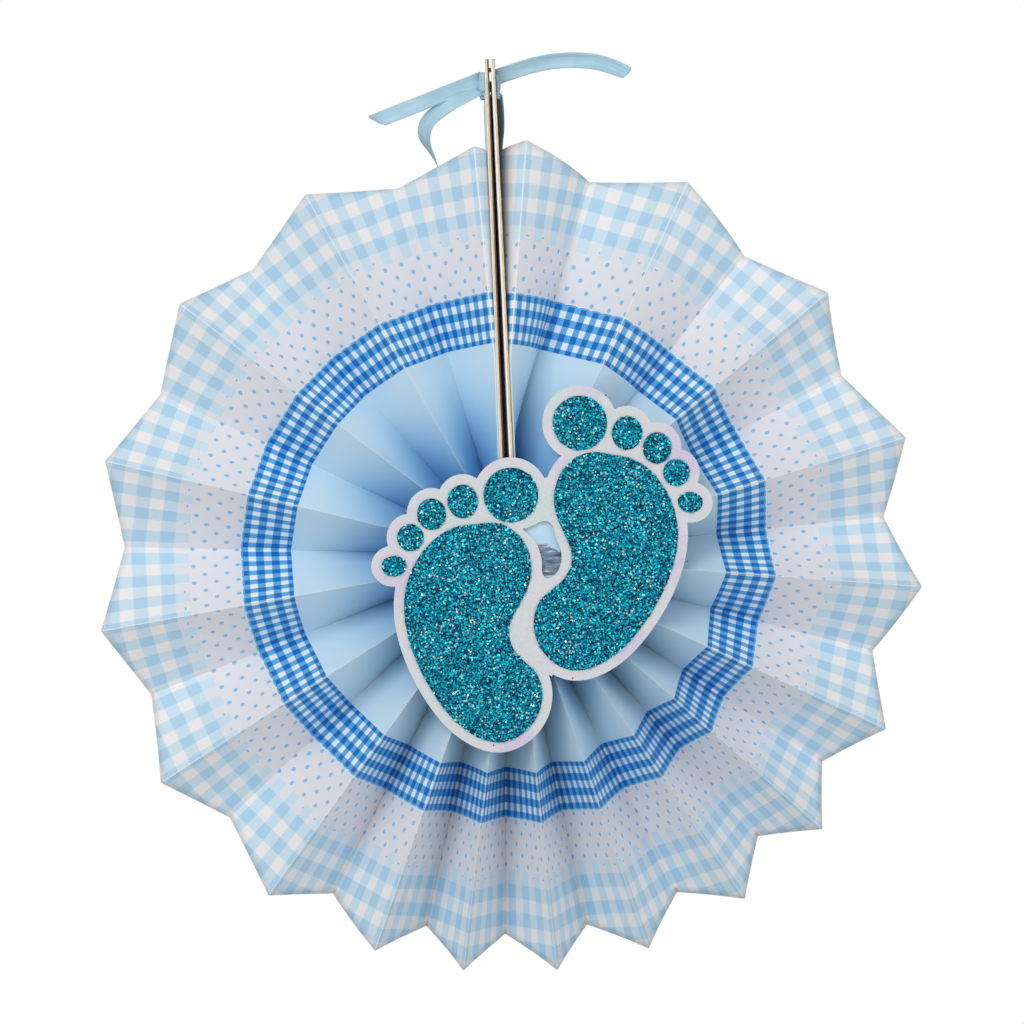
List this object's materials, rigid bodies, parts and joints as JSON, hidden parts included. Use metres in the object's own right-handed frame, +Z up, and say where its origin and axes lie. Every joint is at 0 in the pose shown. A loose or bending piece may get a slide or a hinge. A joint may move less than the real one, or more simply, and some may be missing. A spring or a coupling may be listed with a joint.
{
  "type": "hanging paper fan rosette",
  "caption": "Pleated printed paper fan opened into a full round rosette, with glittered footprints glued at its hub and a ribbon to hang it by.",
  "frame": {"origin": "hanging eye: the middle of the punched holes in the two end cards, on the front-to-back middle of the cards", "axes": "+Z up along the cards, away from the hub; -Y is the front, where the footprints are; +X is the viewer's right"},
  "size_m": [0.3024, 0.0497, 0.3362],
  "materials": {
    "printed_paper": "matt paper printed with blue gingham and polka dots",
    "chipboard": "cream chipboard with a white lined face",
    "hub_glue": "dark translucent dried glue",
    "pearl_card": "pearly white card with a bevelled edge",
    "glitter": "coarse blue-green glitter",
    "satin_ribbon": "pale blue satin ribbon"
  },
  "bodies": {
    "root": {"pleated_fan": "printed_paper", "right_end_card": "chipboard", "left_end_card": "chipboard", "hub_glue": "hub_glue", "footprint_card": "pearl_card", "left_sole_glitter": "glitter", "left_big_toe_glitter": "glitter", "left_second_toe_glitter": "glitter", "left_third_toe_glitter": "glitter", "left_fourth_toe_glitter": "glitter", "left_little_toe_glitter": "glitter", "right_sole_glitter": "glitter", "right_big_toe_glitter": "glitter", "right_second_toe_glitter": "glitter", "right_third_toe_glitter": "glitter", "right_fourth_toe_glitter": "glitter", "right_little_toe_glitter": "glitter", "hanging_ribbon": "satin_ribbon"}
  },
  "joints": []
}
